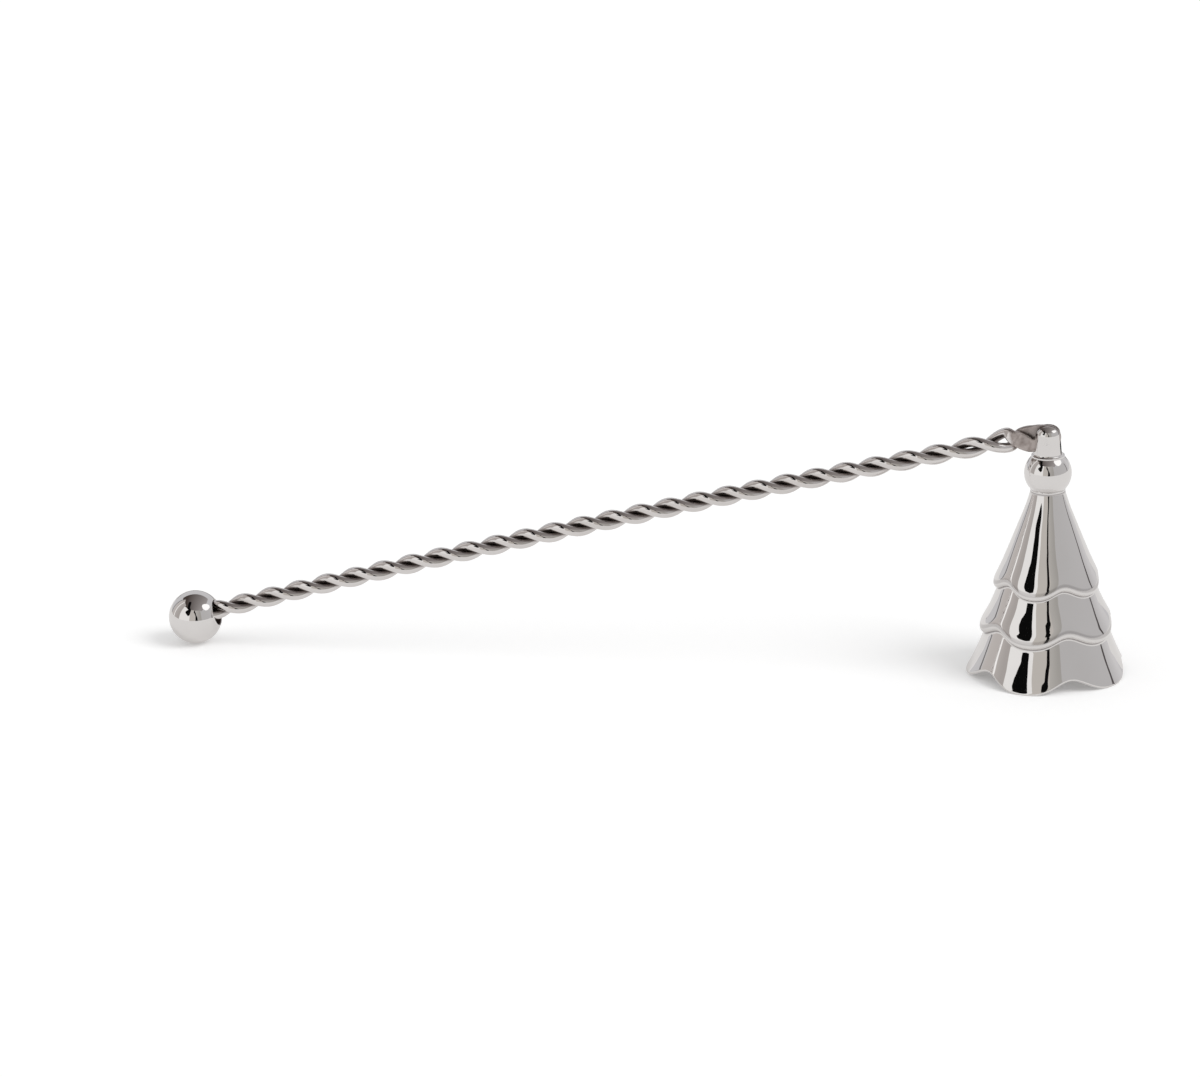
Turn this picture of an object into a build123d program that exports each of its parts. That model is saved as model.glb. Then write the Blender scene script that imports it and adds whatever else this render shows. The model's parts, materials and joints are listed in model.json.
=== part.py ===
from build123d import *
import math
import os

# A table candle snuffer: a scalloped, three-tiered bell hangs from a pinned knuckle
# at the end of a twisted two-wire handle that ends in a ball.
# Millimetres and degrees. The handle runs along X, from the end ball to the bell, and +Z is up.
# The bell stands on z = 0 and the end ball rests there too.

# Handle as a whole
HANDLE_REACH = 214.2
HANDLE_BOW = 1.7
ROPE_RISE_AT_BALL = 0.45
ROPE_RISE_AT_PIVOT = 1.0
FORK_LIFT = 0.6
FORK_LIFT_LENGTH = 40.0
FORK_STRETCH = 1.7

# Twisted wires
WIRE_RADIUS = 1.2
ROPE_GAP = 0.08
HALF_PITCH = 7.26
LOOSE_HALF_PITCH = 7.6
LOOSE_HALF_TURNS = 4
LAST_TOP = 10.8
LOOSE_OPENING = 0.62

# Flattened and drilled wire ends, whose outlines are shares of the eye's radius
TAB_THICKNESS = 1.3
TAB_EYE_RADIUS = 3.0
TAB_GAP = 0.08
TAB_HOLE_CLEARANCE = 0.05
FRONT_TAB_SHARES = ((-2.5, 0.65), (-2.1, 0.66), (-1.3, -0.1), (-0.99, 0.1),
                    (-0.5, -0.86), (-1.27, -1.07), (-2.45, -0.7))
BACK_TAB_SHARES = ((-2.6, -0.02), (-2.25, 0.62), (-1.83, 0.8), (-0.83, 0.97), (0, 0.98),
                   (-0.6, -0.78), (-1.2, -0.6), (-2.5, -0.95))
FRONT_BLEND_SHARES = ((-2.9, 0.27), (-2.35, 0.02))
BACK_BLEND_SHARES = ((-2.85, -0.6), (-2.45, -0.35))
BLEND_HEIGHT_SHARES = (1.2, 1.35)
BLEND_DEPTH_SHARES = (0.8, 0.5)
BLEND_SIDE_SHARES = (2.0, 1.0)
FRONT_BLEND_ANGLES = (-30.0, -38.0)
BACK_BLEND_ANGLES = (14.0, 32.0)

# End ball
BALL_RADIUS = 6.5
BALL_BORE_RADIUS = 3.0
BALL_BORE_DEPTH = 7.5
SOLDER_LENGTH = 3.0
WIRE_END_GAP = 1.0

# Knuckle with its shank, and the pin
KNUCKLE_RADIUS = 3.1
KNUCKLE_FOOT_RADIUS = 3.4
KNUCKLE_TOP_ABOVE_PIVOT = 3.1
KNUCKLE_SHOULDER_RADIUS = 2.2
KNUCKLE_FLANGE_RADIUS = 3.95
KNUCKLE_FLANGE_THICKNESS = 0.3
KNUCKLE_FLANGE_LIP = 0.1
SLOT_SIDE_CLEARANCE = 0.1
SLOT_FLOOR_THICKNESS = 0.63
SLOT_FLOOR_CLEARANCE = 0.7
PIN_RADIUS = 0.8
SHANK_RADIUS = 1.25
SHANK_CLEARANCE = 0.05
SHANK_TAIL = 0.6

# Neck ball
NECK_RADIUS = 5.6
NECK_SEAT = 3.8

# Bell: a cone in three scalloped tiers
BELL_LOBES = 5
BELL_TURN = 5.7
COLLAR_TOP = 45.4
COLLAR_HEIGHT = 0.5
COLLAR_RADIUS = 4.15
COLLAR_ROUND = 0.15
CONE_TOP_RADIUS = 3.73
CONE_ANGLE = 21.65
TOP_COVE = 0.35
TOP_COVE_LENGTH = 5.6
TIER_1_HEM = 21.2
TIER_2_HEM = 10.2
TIER_1_WAVE = 2.0
TIER_2_WAVE = 2.4
HEM_WAVE = 3.0
TIER_1_STEP = 1.65
TIER_2_STEP = 1.8
TIER_1_SPLAY = 0.25
TIER_2_SPLAY = 0.55
TIER_SPLAY_LENGTH = 8.0
TIER_ROLL_RADIUS = 5.0
TIER_ROLL_ANGLE = 8.0
TIER_1_LIP_RADIUS = 1.1
TIER_2_LIP_RADIUS = 1.2
TIER_LIP_ANGLE = -60.0
HEM_LIP_RADIUS = 0.5
HEM_LIP_ANGLE = -180.0
HEM_FLARE = 0.6
HEM_FLARE_START = 7.0
VALLEY_DEPTH = 0.22
FOOT_GRIND = 0.12
BELL_WALL = 1.2
CAVITY_WAIST = 8.5
CAVITY_TOP_RADIUS = 4.5
CROWN_THICKNESS = 6.5

# Hardware inside the bell
WASHER_RADIUS = 3.0
WASHER_THICKNESS = 0.5
NUT_FLATS = 5.0
NUT_THICKNESS = 2.0
NUT_CHAMFER = 0.3

# Scallop shape, points on a ring, steps in a bend of the lip, and one overrun for all cuts
VALLEY_SHARPNESS = 6
HEM_SHARPNESS_SHARE = 0.16
RING_POINTS_PER_LOBE = 16
LIP_STEPS = 3
HEM_LIP_STEPS = 6
OVERRUN = 2.0

# Places that follow from the sizes, upwards from the bell to the pivot and then along the handle
neck_height = COLLAR_TOP + NECK_SEAT
flat_radius = KNUCKLE_FLANGE_RADIUS - KNUCKLE_FLANGE_LIP
knuckle_base = neck_height + math.sqrt(NECK_RADIUS ** 2 - flat_radius ** 2)
slot_floor = knuckle_base + SLOT_FLOOR_THICKNESS
pivot_height = slot_floor + SLOT_FLOOR_CLEARANCE + TAB_EYE_RADIUS
knuckle_top = pivot_height + KNUCKLE_TOP_ABOVE_PIVOT
drop = math.asin((pivot_height - BALL_RADIUS) / HANDLE_REACH)
pivot = Vector(0, 0, pivot_height)
along = Vector(-math.cos(drop), 0, -math.sin(drop))
upward = Vector(-math.sin(drop), 0, math.cos(drop))
ball_centre = pivot + along * HANDLE_REACH
wire_offset = WIRE_RADIUS + ROPE_GAP / 2
loose_end = LAST_TOP + LOOSE_HALF_TURNS * LOOSE_HALF_PITCH
tab_centre = (TAB_THICKNESS + TAB_GAP) / 2
slot_width = 2 * TAB_THICKNESS + TAB_GAP + 2 * SLOT_SIDE_CLEARANCE
collar_base = COLLAR_TOP - COLLAR_HEIGHT
crown_underside = COLLAR_TOP - CROWN_THICKNESS
washer_underside = crown_underside - WASHER_THICKNESS
nut_underside = washer_underside - NUT_THICKNESS
shank_end = nut_underside - SHANK_TAIL
bore_bottom = HANDLE_REACH - BALL_RADIUS + BALL_BORE_DEPTH
wire_end = bore_bottom - WIRE_END_GAP


# The bell's rings
def valley(phase):
    return ((1 - math.cos(phase)) / 2) ** VALLEY_SHARPNESS


def wave(phase):
    return (1 - math.cos(phase)) / 2 - HEM_SHARPNESS_SHARE * (1 - math.cos(2 * phase)) / 2


def cone_radius(height):
    below_collar = collar_base - height
    cove_share = max(0, 1 - below_collar / TOP_COVE_LENGTH)
    flare_share = max(0, 1 - height / HEM_FLARE_START)
    straight = CONE_TOP_RADIUS + math.tan(math.radians(CONE_ANGLE)) * below_collar
    return straight + TOP_COVE * cove_share ** 2 + HEM_FLARE * flare_share ** 2


def closed_curve(place):
    count = BELL_LOBES * RING_POINTS_PER_LOBE
    points = []
    for index in range(count):
        turn = 2 * math.pi * index / count
        radius, height = place(BELL_LOBES * turn)
        direction = math.pi + math.radians(BELL_TURN) + turn
        points.append((radius * math.cos(direction), radius * math.sin(direction), height))
    return Wire([Edge.make_spline(points, periodic=True)])


def circle_ring(radius, height):
    return closed_curve(lambda phase: (radius, height))


def cone_ring(inset, hem, wave_height):
    def place(phase):
        height = hem + wave_height * wave(phase)
        groove = VALLEY_DEPTH * (1 - height / collar_base) * valley(phase)
        return cone_radius(height) - inset - groove, height
    return closed_curve(place)


def bend(start, radius, first_angle, last_angle, steps):
    # Places inward from the cone and down it, on an arc whose normal turns from one angle to another
    first = math.radians(first_angle)
    slope = math.tan(math.radians(CONE_ANGLE))
    places = []
    for step in range(1, steps + 1):
        angle = math.radians(first_angle + (last_angle - first_angle) * step / steps)
        fall = math.sin(first) - math.sin(angle)
        inward = math.cos(first) - math.cos(angle) + slope * fall
        places.append((start[0] + radius * inward, start[1] + radius * fall))
    return places


def tier_lip(inset, next_inset, hem, wave_height, lip_radius):
    # A soft roll and a tight lip, then a fillet just as large as the step to the next tier asks
    lean = math.radians(CONE_ANGLE)
    under = math.radians(TIER_LIP_ANGLE)
    roll = bend((0, 0), TIER_ROLL_RADIUS, CONE_ANGLE, TIER_ROLL_ANGLE, 1)
    lip = bend(roll[-1], lip_radius, TIER_ROLL_ANGLE, TIER_LIP_ANGLE, LIP_STEPS)
    missing = next_inset - inset - lip[-1][0]
    rise = math.sin(lean) - math.sin(under)
    gained = math.cos(lean) - math.cos(under) + math.tan(lean) * rise
    fillet = bend(lip[-1], -missing / gained, TIER_LIP_ANGLE, CONE_ANGLE, 1)
    top = hem + lip[-1][1]
    return [cone_ring(inset + inward, top - fall, wave_height)
            for inward, fall in [(0, 0)] + roll + lip + fillet]


def tier_foot(inset, next_inset, splay, hem, wave_height, lip_radius):
    # The lower part of a tier splays out a little before its lip
    middle = cone_ring(inset - splay / 4, hem + TIER_SPLAY_LENGTH / 2, wave_height)
    return [middle] + tier_lip(inset - splay, next_inset, hem, wave_height, lip_radius)


def hem_lip(inset):
    lean = math.degrees(math.atan(math.tan(math.radians(CONE_ANGLE)) + 2 * HEM_FLARE / HEM_FLARE_START))
    places = bend((0, 0), HEM_LIP_RADIUS, lean, HEM_LIP_ANGLE, HEM_LIP_STEPS)
    top = HEM_LIP_RADIUS * (1 + math.sin(math.radians(lean))) - FOOT_GRIND
    return [cone_ring(inset + inward, top - fall, HEM_WAVE) for inward, fall in [(0, 0)] + places]


def collar_rings():
    return [circle_ring(COLLAR_RADIUS - COLLAR_ROUND, COLLAR_TOP),
            circle_ring(COLLAR_RADIUS, COLLAR_TOP - COLLAR_ROUND),
            circle_ring(COLLAR_RADIUS, collar_base + COLLAR_ROUND),
            circle_ring(cone_radius(collar_base), collar_base)]


def make_bell():
    second = TIER_1_STEP - TIER_1_SPLAY
    third = second - TIER_2_SPLAY + TIER_2_STEP
    rings = collar_rings()
    for below_collar in (TOP_COVE_LENGTH / 2, TOP_COVE_LENGTH):
        rings.append(cone_ring(0, collar_base - below_collar, 0))
    rings += tier_foot(0, second, TIER_1_SPLAY, TIER_1_HEM, TIER_1_WAVE, TIER_1_LIP_RADIUS)
    rings += tier_foot(second, third, TIER_2_SPLAY, TIER_2_HEM, TIER_2_WAVE, TIER_2_LIP_RADIUS)
    rings.append(cone_ring(third, HEM_FLARE_START, (TIER_2_WAVE + HEM_WAVE) / 2))
    rings += hem_lip(third)
    rings.append(cone_ring(third + BELL_WALL, CAVITY_WAIST, 0))
    rings.append(circle_ring(CAVITY_TOP_RADIUS, crown_underside))
    casting = Solid.make_loft(rings, ruled=True)
    below = Pos(0, 0, -OVERRUN) * Cylinder(2 * cone_radius(0), OVERRUN,
                                           align=(Align.CENTER, Align.CENTER, Align.MIN))
    return casting - below - shank_bore()


# What stands in line on the bell's axis
def upright(radius, bottom, top):
    return Pos(0, 0, bottom) * Cylinder(radius, top - bottom,
                                        align=(Align.CENTER, Align.CENTER, Align.MIN))


def shank_bore():
    return upright(SHANK_RADIUS + SHANK_CLEARANCE, shank_end, knuckle_base)


def make_neck_ball():
    ball = Pos(0, 0, neck_height) * Sphere(NECK_RADIUS)
    return (ball & upright(NECK_RADIUS, COLLAR_TOP, knuckle_base)) - shank_bore()


def make_washer():
    return upright(WASHER_RADIUS, washer_underside, crown_underside) - shank_bore()


def make_nut():
    hexagon = RegularPolygon(NUT_FLATS / 2, 6, major_radius=False)
    block = Pos(0, 0, nut_underside) * extrude(hexagon, NUT_THICKNESS)
    corner_radius = NUT_FLATS / math.sqrt(3)
    rounding = upright(corner_radius, nut_underside, washer_underside)
    rounding = chamfer(rounding.edges().sort_by(Axis.Z)[0], NUT_CHAMFER)
    return (block & rounding) - shank_bore()


def knuckle_envelope():
    cove = KNUCKLE_FLANGE_RADIUS - KNUCKLE_FOOT_RADIUS
    flange_top = knuckle_base + KNUCKLE_FLANGE_THICKNESS
    shoulder = knuckle_top - KNUCKLE_SHOULDER_RADIUS
    crown = KNUCKLE_RADIUS - KNUCKLE_SHOULDER_RADIUS
    diagonal = math.sqrt(0.5)
    cove_middle = (KNUCKLE_FLANGE_RADIUS - cove * diagonal, flange_top + cove * (1 - diagonal))
    shoulder_middle = (crown + KNUCKLE_SHOULDER_RADIUS * diagonal,
                       shoulder + KNUCKLE_SHOULDER_RADIUS * diagonal)
    outline = [Line((0, knuckle_base), (KNUCKLE_FLANGE_RADIUS, knuckle_base)),
               Line((KNUCKLE_FLANGE_RADIUS, knuckle_base), (KNUCKLE_FLANGE_RADIUS, flange_top)),
               ThreePointArc((KNUCKLE_FLANGE_RADIUS, flange_top), cove_middle,
                             (KNUCKLE_FOOT_RADIUS, flange_top + cove)),
               Line((KNUCKLE_FOOT_RADIUS, flange_top + cove), (KNUCKLE_RADIUS, shoulder)),
               ThreePointArc((KNUCKLE_RADIUS, shoulder), shoulder_middle, (crown, knuckle_top)),
               Line((crown, knuckle_top), (0, knuckle_top)),
               Line((0, knuckle_top), (0, knuckle_base))]
    return revolve(Plane.XZ * make_face(outline), Axis.Z)


def cross_bar(radius, length):
    return Pos(0, 0, pivot_height) * Rot(90, 0, 0) * Cylinder(radius, length)


def make_knuckle(envelope):
    slot_height = knuckle_top - slot_floor + OVERRUN
    slot = Pos(0, 0, slot_floor) * Box(4 * KNUCKLE_RADIUS, slot_width, slot_height,
                                       align=(Align.CENTER, Align.CENTER, Align.MIN))
    body = envelope - slot - cross_bar(PIN_RADIUS, 4 * KNUCKLE_RADIUS)
    return body + upright(SHANK_RADIUS, shank_end, knuckle_base)


def make_pin(envelope):
    return cross_bar(PIN_RADIUS, 4 * KNUCKLE_RADIUS) & envelope


# The twisted handle: two wires wind about a gently bowed line above the pivot-to-ball line
def rope_line(distance):
    share = distance / HANDLE_REACH
    rise = ROPE_RISE_AT_PIVOT + (ROPE_RISE_AT_BALL - ROPE_RISE_AT_PIVOT) * share
    rise += 4 * HANDLE_BOW * share * (1 - share)
    rise += FORK_LIFT * max(0, 1 - distance / FORK_LIFT_LENGTH) ** 2
    return pivot + along * distance + upward * rise


def open_share(phase):
    return max(0, 1 - phase / (2 * math.pi)) ** 2


def distance_at(phase):
    half_turns = phase / math.pi
    if half_turns < LOOSE_HALF_TURNS:
        return LAST_TOP + half_turns * LOOSE_HALF_PITCH - FORK_STRETCH * open_share(phase)
    return loose_end + (half_turns - LOOSE_HALF_TURNS) * HALF_PITCH


def wire_point(phase, start_angle):
    radius = wire_offset + LOOSE_OPENING * open_share(phase)
    angle = phase + start_angle
    spoke = upward * math.cos(angle) + Vector(0, 1, 0) * math.sin(angle)
    return rope_line(distance_at(phase)) + spoke * radius


def wire_tangent(phase, start_angle):
    small = math.pi / 1000
    ahead = wire_point(phase + small, start_angle)
    behind = wire_point(max(0, phase - small), start_angle)
    return (ahead - behind).normalized()


def biarc(start, start_tangent, end, end_tangent):
    chord = end - start
    squared = 2 * (1 - start_tangent.dot(end_tangent))
    linear = 2 * chord.dot(start_tangent + end_tangent)
    reach = 2 * chord.dot(chord) / (linear + math.sqrt(linear ** 2 + 4 * squared * chord.dot(chord)))
    middle = (start + start_tangent * reach + end - end_tangent * reach) / 2
    first = Edge.make_tangent_arc(start, start_tangent, middle)
    return [first, Edge.make_tangent_arc(middle, first.tangent_at(1), end)]


def wound_wire(start_angle):
    last_phase = math.pi * (LOOSE_HALF_TURNS + (wire_end - loose_end) / HALF_PITCH)
    quarters = math.ceil(last_phase / (math.pi / 2))
    edges = []
    for quarter in range(quarters):
        low = last_phase * quarter / quarters
        high = last_phase * (quarter + 1) / quarters
        edges += biarc(wire_point(low, start_angle), wire_tangent(low, start_angle),
                       wire_point(high, start_angle), wire_tangent(high, start_angle))
    path = Wire(edges)
    section = Plane(path.position_at(0), z_dir=path.tangent_at(0)) * Circle(WIRE_RADIUS)
    return sweep(section, path)


def tab_plate(shares, side):
    corners = [(x * TAB_EYE_RADIUS, z * TAB_EYE_RADIUS) for x, z in shares]
    outline = make_face(Polyline(*corners, close=True)) + Circle(TAB_EYE_RADIUS)
    plate = extrude(Plane.XZ * outline, TAB_THICKNESS / 2, both=True)
    return Pos(0, side * tab_centre, pivot_height) * plate


def tab_blend(start_angle, centre_shares, angles, side):
    start = Plane(wire_point(0, start_angle), x_dir=(0, 1, 0), z_dir=-wire_tangent(0, start_angle))
    sections = [Wire([Edge.make_circle(WIRE_RADIUS, start)])]
    sizes = zip(centre_shares, BLEND_SIDE_SHARES, angles, BLEND_DEPTH_SHARES, BLEND_HEIGHT_SHARES)
    for (x, z), sideways, angle, deep, high in sizes:
        lean = math.radians(angle)
        centre = (x * TAB_EYE_RADIUS, side * sideways * tab_centre, pivot_height + z * TAB_EYE_RADIUS)
        plane = Plane(centre, x_dir=(0, 1, 0), z_dir=(math.cos(lean), 0, math.sin(lean)))
        sections.append(Wire([Edge.make_ellipse(WIRE_RADIUS * deep, WIRE_RADIUS * high, plane)]))
    return Solid.make_loft(sections)


def make_strand(start_angle, plate_shares, blend_shares, angles, side):
    strand = wound_wire(start_angle) + tab_blend(start_angle, blend_shares, angles, side)
    strand += tab_plate(plate_shares, side)
    return strand - cross_bar(PIN_RADIUS + TAB_HOLE_CLEARANCE, 4 * KNUCKLE_RADIUS)


# The end ball, bored along the handle, and the solder that holds both wires in it
def handle_cylinder(radius, near, far):
    seat = Plane(pivot + along * near, z_dir=along)
    return seat * Cylinder(radius, far - near, align=(Align.CENTER, Align.CENTER, Align.MIN))


def make_end_ball():
    mouth = HANDLE_REACH - BALL_RADIUS - OVERRUN
    return Pos(*ball_centre) * Sphere(BALL_RADIUS) - handle_cylinder(BALL_BORE_RADIUS, mouth, bore_bottom)


def make_solder(wires):
    fill = handle_cylinder(BALL_BORE_RADIUS, bore_bottom - SOLDER_LENGTH, bore_bottom)
    for wire in wires:
        fill -= wire
    return fill


def make_all():
    envelope = knuckle_envelope()
    front = make_strand(0, FRONT_TAB_SHARES, FRONT_BLEND_SHARES, FRONT_BLEND_ANGLES, -1)
    rear = make_strand(math.pi, BACK_TAB_SHARES, BACK_BLEND_SHARES, BACK_BLEND_ANGLES, 1)
    return {"bell": make_bell(),
            "neck_ball": make_neck_ball(),
            "hinge_knuckle": make_knuckle(envelope),
            "hinge_pin": make_pin(envelope),
            "crown_washer": make_washer(),
            "crown_nut": make_nut(),
            "front_strand": front,
            "back_strand": rear,
            "end_ball": make_end_ball(),
            "ball_solder": make_solder([front, rear])}


# The origin goes to the middle of the whole object's box, on the plane that it stands on
os.makedirs("parts", exist_ok=True)
nodes = make_all()
box = Compound(children=[Compound(node.solids()) for node in nodes.values()]).bounding_box()
middle = (box.min + box.max) / 2
to_origin = Pos(-middle.X, -middle.Y, 0)
for name, node in nodes.items():
    export_step(to_origin * Compound(node.solids()), "parts/" + name + ".step")
print("box", box.size, "pivot", to_origin * Pos(*pivot), "bell axis x", -middle.X, "y", -middle.Y)
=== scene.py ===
# %% [markdown]
# # A mirror-polished candle snuffer
#
# The snuffer is three things to a maker: a small cast bell shaped as three scalloped skirts, a
# handle of two twisted wires, and a ball turned on a lathe. Everything is polished until it shows
# the room, so most of what the eye reads as "metal" is really the studio's reflection.
#
# The construction is already packed as a fixed frame. This lesson loads it, dresses each piece
# with a finer mesh and a finish, and then builds the studio that the metal reflects.

import json
import math

import bpy
from mathutils import Matrix, Vector


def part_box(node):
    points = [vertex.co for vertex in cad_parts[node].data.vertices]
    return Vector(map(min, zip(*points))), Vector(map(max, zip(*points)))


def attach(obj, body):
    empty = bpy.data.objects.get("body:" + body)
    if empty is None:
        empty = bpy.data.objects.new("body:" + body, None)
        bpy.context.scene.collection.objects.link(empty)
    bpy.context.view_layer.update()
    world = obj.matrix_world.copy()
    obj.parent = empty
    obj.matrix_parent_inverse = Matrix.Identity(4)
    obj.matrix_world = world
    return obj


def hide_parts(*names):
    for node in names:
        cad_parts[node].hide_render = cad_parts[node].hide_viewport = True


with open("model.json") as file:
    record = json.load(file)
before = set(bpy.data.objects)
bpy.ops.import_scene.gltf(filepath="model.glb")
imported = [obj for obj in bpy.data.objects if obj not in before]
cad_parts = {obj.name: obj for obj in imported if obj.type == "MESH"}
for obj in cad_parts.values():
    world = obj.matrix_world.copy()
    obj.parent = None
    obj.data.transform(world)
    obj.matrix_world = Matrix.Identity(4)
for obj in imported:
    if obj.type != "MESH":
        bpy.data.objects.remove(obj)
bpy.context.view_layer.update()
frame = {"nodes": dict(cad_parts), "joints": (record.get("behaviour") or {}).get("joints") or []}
MM = 0.001
UP = Vector((0, 0, 1))
pivot = Vector(frame["joints"][0]["pos_m"])
neck_low, neck_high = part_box("neck_ball")
axis_x = (neck_low.x + neck_high.x) / 2
axis_y = (neck_low.y + neck_high.y) / 2
axis_foot = Vector((axis_x, axis_y, 0))
print("nodes", sorted(frame["nodes"]), "pivot", tuple(round(v, 5) for v in pivot))

# %% [markdown]
# ## Dressing a node
#
# Each visible piece is a new mesh that rides on a moving body and stands in for one solid of the
# frame. The solid's own triangles could be smoothed, but are too coarse for a mirror. A mark is a
# number kept at each point, which a finish reads as a place to darken and dull: painted shade, and
# also dirt on the rope and oxide in the bore.

# %% Helpers for a dressed piece
def new_piece(name, points, faces, body, node):
    mesh = bpy.data.meshes.new(name)
    mesh.from_pydata(points, [], faces)
    mesh.validate()
    mesh.update()
    mesh.shade_smooth()
    piece = bpy.data.objects.new(name, mesh)
    bpy.context.scene.collection.objects.link(piece)
    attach(piece, body)
    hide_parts(node)
    return piece


def mark_points(piece, name, values):
    layer = piece.data.attributes.new(name, "FLOAT", "POINT")
    layer.data.foreach_set("value", values)


print("nodes to dress", len(frame["nodes"]))

# %% [markdown]
# ## Rings
#
# A mirror finish shows every facet, so each visible piece is a dense grid of points on a formula
# and not a few large faces. All pieces here are rings: a bell is rings round an axis, and a wire
# is rings along a path. One helper joins the rings with faces, one draws a round corner of a
# profile, and one spins a profile as a lathe does.

# %% Helpers for rings and turned profiles
def ring_faces(ring_count, ring_size, cap_first=False, cap_last=False, closed=False):
    faces = []
    for ring in range(ring_count if closed else ring_count - 1):
        here = ring * ring_size
        there = (ring + 1) % ring_count * ring_size
        for step in range(ring_size):
            after = (step + 1) % ring_size
            faces.append((here + step, here + after, there + after, there + step))
    if cap_first:
        faces.append(tuple(reversed(range(ring_size))))
    if cap_last:
        faces.append(tuple(range((ring_count - 1) * ring_size, ring_count * ring_size)))
    return faces


def arc_points(centre, radius, first, last, steps):
    points = []
    for step in range(steps + 1):
        angle = math.radians(first + (last - first) * step / steps)
        points.append((centre[0] + radius * math.cos(angle), centre[1] + radius * math.sin(angle)))
    return points


def lathe_points(profile, origin, axis, columns):
    side = axis.orthogonal().normalized()
    other = axis.cross(side)
    points = []
    for radius, height in profile:
        for column in range(columns):
            turn = 2 * math.pi * column / columns
            spoke = side * math.cos(turn) + other * math.sin(turn)
            points.append(origin + axis * height + spoke * radius)
    return points


print("two rings of eight points are joined by", len(ring_faces(2, 8)), "faces")

# %% [markdown]
# ## The bell
#
# The real bell is one casting. Its outside is a cone, stepped in twice, and each step ends in a
# scalloped lip like the hem of a skirt. Five shallow lobes run down the cone. Sculpting this by
# hand would leave dents that a mirror finish shows, so the bell is written as rings: a ring's
# height waves up and down with the scallop, and its radius follows the cone at that height.

# %% Cone and scallops
LOBES = 5
BELL_TURN = 5.7
COLLAR_TOP = 45.4 * MM
COLLAR_BASE = 44.9 * MM
CONE_TOP_RADIUS = 3.73 * MM
CONE_ANGLE = 21.65
CONE_SLOPE = math.tan(math.radians(CONE_ANGLE))
COVE = 0.35 * MM
COVE_LENGTH = 5.6 * MM
FLARE = 0.6 * MM
FLARE_START = 7.0 * MM
VALLEY_DEPTH = 0.22 * MM
VALLEY_SHARPNESS = 6
HEM_SHARPNESS_SHARE = 0.16


def wave(phase):
    return (1 - math.cos(phase)) / 2 - HEM_SHARPNESS_SHARE * (1 - math.cos(2 * phase)) / 2


def cone_radius(height):
    below_collar = COLLAR_BASE - height
    cove_share = max(0.0, 1 - below_collar / COVE_LENGTH)
    flare_share = max(0.0, 1 - height / FLARE_START)
    straight = CONE_TOP_RADIUS + CONE_SLOPE * below_collar
    return straight + COVE * cove_share ** 2 + FLARE * flare_share ** 2


def scalloped(inset, hem, wave_height):
    def place(phase):
        height = max(0.0, hem + wave_height * wave(phase))
        valley = ((1 - math.cos(phase)) / 2) ** VALLEY_SHARPNESS
        groove = VALLEY_DEPTH * (1 - height / COLLAR_BASE) * valley
        return cone_radius(height) - inset - groove, height
    return place


def level(radius, height):
    return lambda phase: (radius, height)


print("cone radius at the foot", round(cone_radius(0) / MM, 2), "mm")

# %% [markdown]
# ## The two tiers above the hem
#
# A tier swells a little above its lip, rolls over, and tucks back under into the next skirt. A
# bevel on a sharp step could round it, but wouldn't follow the wave, so the roll and the tuck are
# more rings, each a little lower and further in or out than the last.

# %% Tier lips
TIER_HEMS = (21.2 * MM, 10.2 * MM)
TIER_WAVES = (2.0 * MM, 2.4 * MM)
TIER_TOP_INSETS = (0.0, 1.4 * MM, 2.65 * MM)
TIER_SPLAYS = (0.25 * MM, 0.55 * MM)
SPLAY_LENGTH = 8.0 * MM
SPLAY_STEPS = 12
ROLL_RADIUS = 5.0 * MM
ROLL_ANGLE = 8.0
TIER_LIPS = (1.1 * MM, 1.2 * MM)
TIER_LIP_ANGLE = -60.0
LIP_ROOM = 2.6 * MM
LIP_STEPS = 6


def bend(start, radius, first_angle, last_angle, steps):
    first = math.radians(first_angle)
    places = []
    for step in range(1, steps + 1):
        angle = math.radians(first_angle + (last_angle - first_angle) * step / steps)
        fall = math.sin(first) - math.sin(angle)
        inward = math.cos(first) - math.cos(angle) + CONE_SLOPE * fall
        places.append((start[0] + radius * inward, start[1] + radius * fall))
    return places


def tier_lip(tier):
    lean, under = math.radians(CONE_ANGLE), math.radians(TIER_LIP_ANGLE)
    inset = TIER_TOP_INSETS[tier] - TIER_SPLAYS[tier]
    roll = bend((0, 0), ROLL_RADIUS, CONE_ANGLE, ROLL_ANGLE, LIP_STEPS)
    lip = bend(roll[-1], TIER_LIPS[tier], ROLL_ANGLE, TIER_LIP_ANGLE, 2 * LIP_STEPS)
    missing = TIER_TOP_INSETS[tier + 1] - inset - lip[-1][0]
    reach = math.cos(lean) - math.cos(under) + CONE_SLOPE * (math.sin(lean) - math.sin(under))
    fillet_radius = missing / reach
    fillet = bend(lip[-1], -fillet_radius, TIER_LIP_ANGLE, CONE_ANGLE, LIP_STEPS)
    top = TIER_HEMS[tier] + lip[-1][1]
    return [scalloped(inset + inward, top - fall, TIER_WAVES[tier])
            for inward, fall in [(0, 0)] + roll + lip + fillet]


def tier_splay(tier):
    places = []
    for step in range(SPLAY_STEPS):
        share = step / SPLAY_STEPS
        height = TIER_HEMS[tier] + SPLAY_LENGTH - (SPLAY_LENGTH - LIP_ROOM) * share
        inset = TIER_TOP_INSETS[tier] - TIER_SPLAYS[tier] * share ** 2
        places.append(scalloped(inset, height, TIER_WAVES[tier]))
    return places


print("rings in one tier's lip", len(tier_lip(0)), "and above it", len(tier_splay(0)))

# %% [markdown]
# ## The hem
#
# The lowest skirt flares out and ends in a thin round lip, ground flat where its low points stand
# on the table. A solidify modifier could give the skirt its thickness, but then the lip would be
# square and the flats couldn't be ground, so the lip is a half turn of rings, cut off at zero.

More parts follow.
